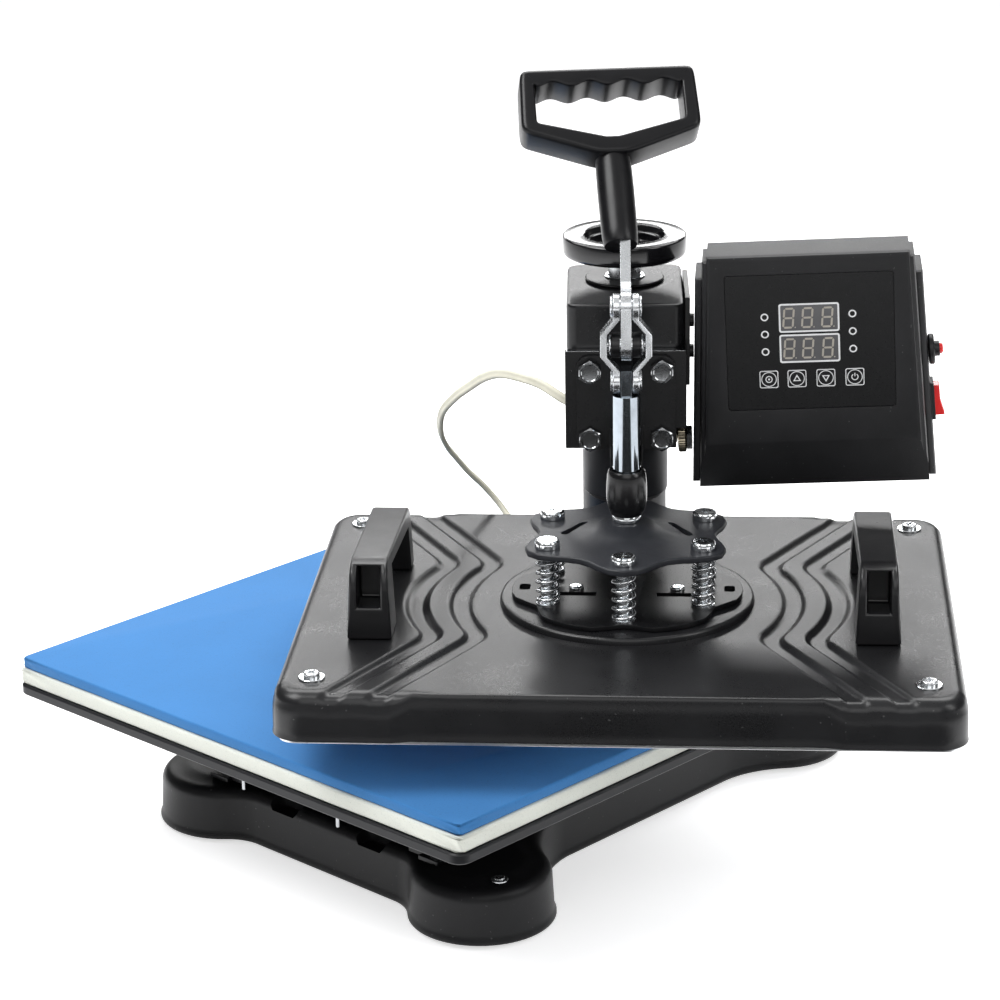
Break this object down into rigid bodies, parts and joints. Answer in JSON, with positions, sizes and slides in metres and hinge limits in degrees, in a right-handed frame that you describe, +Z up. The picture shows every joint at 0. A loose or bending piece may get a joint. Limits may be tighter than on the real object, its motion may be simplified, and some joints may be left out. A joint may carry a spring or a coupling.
{
  "type": "swing-away heat press",
  "caption": "Swing-away heat press: padded lower platen, heating platen on a toggle ram with spring float, hand-wheel height screw and side control box.",
  "frame": {"origin": "centre of the whole press's footprint, feet and swung-out head together, on the bench plane", "axes": "+Z up, -Y is the front of the base and lower platen, +X to the operator's right"},
  "size_m": [0.5706, 0.4916, 0.4767],
  "materials": {
    "casting": "textured dark paint on castings",
    "dark_paint": "satin black paint",
    "grey_paint": "satin grey paint",
    "zinc": "zinc plated, scuffed",
    "chrome": "polished chrome",
    "heat_plate": "machined aluminium",
    "plastic": "moulded black plastic",
    "gloss_plastic": "glossy black plastic",
    "rubber": "moulded rubber",
    "white_foam": "pale felt",
    "blue_foam": "blue silicone foam",
    "red_plastic": "glossy red plastic",
    "cable": "cream cable sheath",
    "board": "insulation board"
  },
  "bodies": {
    "base": {"base_casting": "casting", "foot_front_left": "rubber", "foot_front_right": "rubber", "foot_rear_left": "rubber", "foot_rear_right": "rubber", "platen_stand": "dark_paint", "lower_platen": "grey_paint", "white_sheet": "white_foam", "blue_pad": "blue_foam", "swing_post": "grey_paint", "post_cap": "plastic"},
    "arm": {"swing_arm": "casting", "guide_column": "grey_paint"},
    "carriage": {"head_block": "casting", "top_washer": "casting", "packing_plate": "dark_paint", "toggle_bracket": "dark_paint", "hex_bolt_upper_left": "zinc", "hex_bolt_upper_right": "zinc", "hex_bolt_lower_left": "zinc", "hex_bolt_lower_right": "zinc", "pivot_pin": "zinc", "box_bracket": "dark_paint", "box_front_shell": "casting", "box_rear_shell": "casting", "control_panel": "gloss_plastic", "breaker_body": "plastic", "power_inlet": "plastic", "signal_connector": "zinc", "signal_cable": "cable"},
    "wheel": {"hand_wheel": "gloss_plastic", "pressure_screw": "zinc"},
    "lever": {"lever_bar": "zinc", "lever_grip": "plastic", "link_pin": "zinc"},
    "links": {"toggle_link_left": "zinc", "toggle_link_right": "zinc"},
    "ram": {"ram_rod": "chrome", "ram_coupling": "dark_paint", "spider": "grey_paint", "spring_1": "zinc", "spring_2": "zinc", "spring_3": "zinc", "spring_4": "zinc", "spring_5": "zinc", "spring_6": "zinc"},
    "platen": {"platen_cover": "casting", "insulation_board": "board", "heating_plate": "heat_plate", "float_plate": "dark_paint", "shoulder_screw_1": "chrome", "shoulder_screw_2": "chrome", "shoulder_screw_3": "chrome", "shoulder_screw_4": "chrome", "shoulder_screw_5": "chrome", "shoulder_screw_6": "chrome", "side_handle_left": "plastic", "side_handle_right": "plastic"},
    "rocker": {"rocker_switch": "red_plastic"},
    "breaker": {"breaker_button": "red_plastic"}
  },
  "joints": [
    {"name": "head_swing", "type": "hinge", "parent": "base", "child": "arm", "pos_m": [-0.09228, 0.14213, 0.0002], "axis": [0, 0, 1], "range_deg": [-41.84, 48]},
    {"name": "height_slide", "type": "slide", "parent": "arm", "child": "carriage", "axis": [0, 0, 1], "range_m": [0, 0.006]},
    {"name": "hand_wheel_turn", "type": "hinge", "parent": "carriage", "child": "wheel", "pos_m": [-0.02377, 0.06562, 0.37], "axis": [0, 0, 1], "range_deg": [0, 720]},
    {"name": "lever_turn", "type": "hinge", "parent": "carriage", "child": "lever", "pos_m": [0.04293, -0.00888, 0.3361], "axis": [0.745, 0.6671, 0], "range_deg": [0, 120]},
    {"name": "link_turn", "type": "hinge", "parent": "lever", "child": "links", "pos_m": [0.04293, -0.00888, 0.3591], "axis": [0.745, 0.6671, 0], "range_deg": [-93.6, 0]},
    {"name": "ram_slide", "type": "slide", "parent": "carriage", "child": "ram", "axis": [0, 0, 1], "range_m": [-0.0298, 0]},
    {"name": "platen_float", "type": "slide", "parent": "ram", "child": "platen", "axis": [0, 0, 1], "range_m": [0, 0.008], "stiffness_N_per_m": 12000, "springref_m": -0.01, "deforming": ["spring_1", "spring_2", "spring_3", "spring_4", "spring_5", "spring_6"]},
    {"name": "rocker_tilt", "type": "hinge", "parent": "carriage", "child": "rocker", "pos_m": [0.14921, 0.14709, 0.28867], "axis": [-0.6271, 0.7789, 0], "range_deg": [0, 12]},
    {"name": "breaker_push", "type": "slide", "parent": "carriage", "child": "breaker", "axis": [-0.7758, -0.6247, -0.0889], "range_m": [0, 0.0015], "stiffness_N_per_m": 400}
  ],
  "couplings": [
    {"joint": "hand_wheel_turn", "follows": "height_slide", "rad_per_m": 2094.4},
    {"joint": "link_turn", "follows": "lever_turn", "ratio": -0.78},
    {"joint": "ram_slide", "follows": "lever_turn", "m_per_rad": -0.014228}
  ]
}
